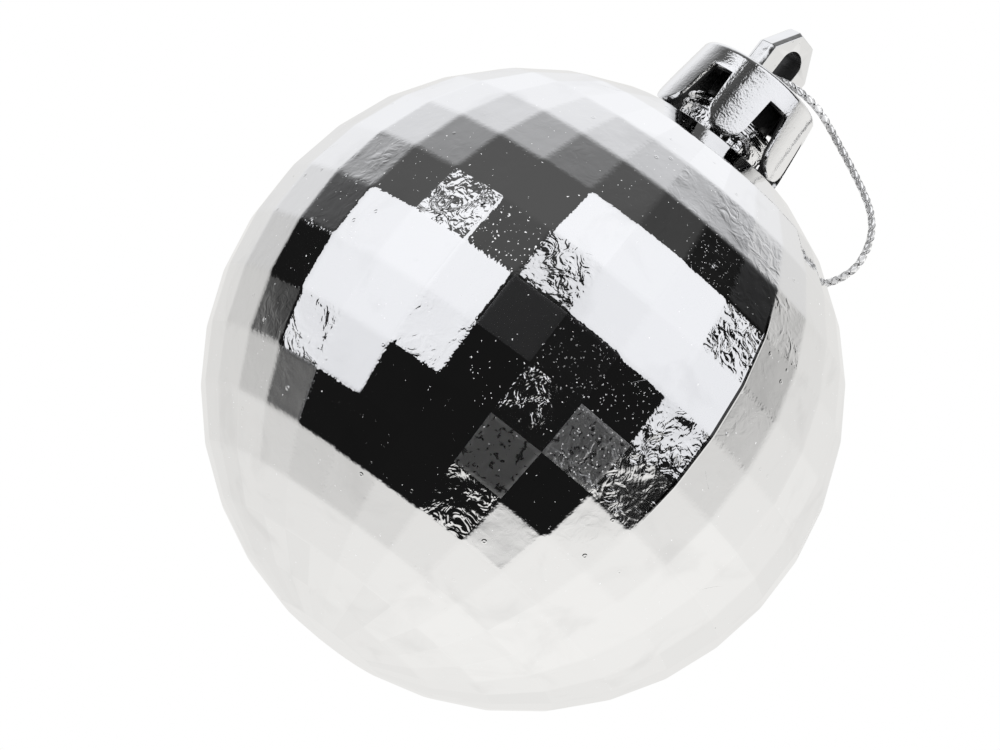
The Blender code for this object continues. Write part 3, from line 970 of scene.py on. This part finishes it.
def add_softboxes():
    right, up, back = camera_axes()
    for name, (across, rise, turn, half_wide, half_tall) in SOFTBOXES.items():
        a, e, t = math.radians(across), math.radians(rise), math.radians(turn)
        towards = right * math.sin(a) * math.cos(e) + up * math.sin(e) + back * math.cos(a) * math.cos(e)
        level = right * math.cos(a) - back * math.sin(a)
        steep = towards.cross(level)
        side = level * math.cos(t) + steep * math.sin(t)
        light = bpy.data.lights.new(name, "AREA")
        light.shape = "RECTANGLE"
        light.size = 2 * half_wide * SOFTBOX_DISTANCE
        light.size_y = 2 * half_tall * SOFTBOX_DISTANCE
        light.color = SOFTBOX_TINT
        light.energy = SOFTBOX_RADIANCE * math.pi * light.size * light.size_y
        light.use_nodes = True
        tree = light.node_tree
        spot = node(tree, "ShaderNodeNewGeometry").outputs["Parametric"]
        inputs = {0: spot, 1: (*SOFTBOX_CENTRE, 0.0)}
        offset = node(tree, "ShaderNodeVectorMath", inputs, operation="SUBTRACT").outputs[0]
        squared = node(tree, "ShaderNodeVectorMath", {0: offset, 1: offset}, operation="DOT_PRODUCT")
        strength = math_node(tree, "MULTIPLY_ADD", squared.outputs["Value"], -SOFTBOX_FALLOFF, 1.0)
        tree.links.new(strength, tree.nodes["Emission"].inputs["Strength"])
        obj = bpy.data.objects.new(name, light)
        place = BALL_CENTRE + towards * SOFTBOX_DISTANCE
        obj.matrix_world = as_matrix(side, towards.cross(side), towards, place)
        obj.visible_camera = False
        bpy.context.scene.collection.objects.link(obj)


def surround_colour(across, up, towards):
    """The studio's light from a direction: a white table below, a dark room above, a pale wall behind."""
    height = up * math.cos(TABLE_TILT) + towards * math.sin(TABLE_TILT)  # over the table's horizon
    away = math.degrees(math.acos(max(-1.0, min(1.0, towards))))  # from the camera's direction
    table = TABLE_LIGHT - 0.175 * smoothstep(90, 165, away) - 0.05 * smoothstep(0.1, 0.8, -across)
    table -= TABLE_EDGE_SHADE * math.exp(min(0.0, height) / 0.25) * smoothstep(26, 120, away)
    room = ROOM_LIGHT + CEILING_LIGHT * smoothstep(0.5, 0.95, up)
    floor_share = 1 - smoothstep(-0.075, 0.03, height)
    wall_share = smoothstep(116, 156, away + 11 * across + 30.5 * up) * smoothstep(0.11, 0.60, up)
    base = room + (table - room) * floor_share
    colour = [base * (1 + (tint - 1) * floor_share) for tint in TABLE_TINT]
    wall = WALL_LIGHT + 0.10 * across
    return [part + (wall * tint - part) * wall_share for part, tint in zip(colour, WALL_TINT)]


def add_surround():
    """A shell that only reflections see, so that the mirror facets show the room and not an empty white."""
    right, up, back = camera_axes()
    body = bmesh.new()
    bmesh.ops.create_icosphere(body, subdivisions=6, radius=SURROUND_RADIUS)
    mesh = bpy.data.meshes.new("studio_surround")
    body.to_mesh(mesh)
    body.free()
    tone = mesh.attributes.new("tone", "FLOAT_COLOR", "POINT")
    for vertex in mesh.vertices:
        way = vertex.co.normalized()
        tone.data[vertex.index].color = surround_colour(way.dot(right), way.dot(up), way.dot(back)) + [1.0]
    mat = bpy.data.materials.new("studio_surround")
    mat.use_nodes = True
    tree = mat.node_tree
    tree.nodes.clear()
    value = node(tree, "ShaderNodeAttribute", attribute_name="tone").outputs["Color"]
    glow = node(tree, "ShaderNodeEmission", {"Color": value})
    out = tree.nodes.new("ShaderNodeOutputMaterial")
    tree.links.new(glow.outputs[0], out.inputs["Surface"])
    mat.cycles.emission_sampling = "NONE"
    mesh.materials.append(mat)
    shell = bpy.data.objects.new("studio_surround", mesh)
    shell.location = BALL_CENTRE
    shell.visible_camera = False
    shell.visible_diffuse = False
    shell.visible_shadow = False
    shell.visible_transmission = False
    bpy.context.scene.collection.objects.link(shell)


def add_floor():
    body = bmesh.new()
    bmesh.ops.create_grid(body, x_segments=1, y_segments=1, size=8.0)
    mesh = bpy.data.meshes.new("floor")
    body.to_mesh(mesh)
    body.free()
    mat, _, shader = new_material("pale_floor")
    shader.inputs["Base Color"].default_value = (0.82, 0.82, 0.82, 1.0)
    shader.inputs["Roughness"].default_value = 0.9
    mesh.materials.append(mat)
    floor = bpy.data.objects.new("floor", mesh)
    floor.location.z = FLOOR_HEIGHT
    floor.visible_glossy = False
    bpy.context.scene.collection.objects.link(floor)


def add_world():
    world = bpy.data.worlds.new("white_world")
    world.use_nodes = True
    world.node_tree.nodes["Background"].inputs["Color"].default_value = (1.0, 1.0, 1.0, 1.0)
    world.node_tree.nodes["Background"].inputs["Strength"].default_value = 1.0
    world.cycles_visibility.glossy = False
    bpy.context.scene.world = world
    bpy.context.scene.view_settings.view_transform = "Standard"


def main():
    add_camera()
    add_world()
    add_softboxes()
    add_surround()
    add_floor()
    ball_film, crown_film, thread = mirror_film(), cap_film(), braid_thread()
    build_cord(thread)
    build_ball(ball_film)
    build_cap(crown_film)
    build_sleeve(crown_film)
    build_eyelet(crown_film)


main()
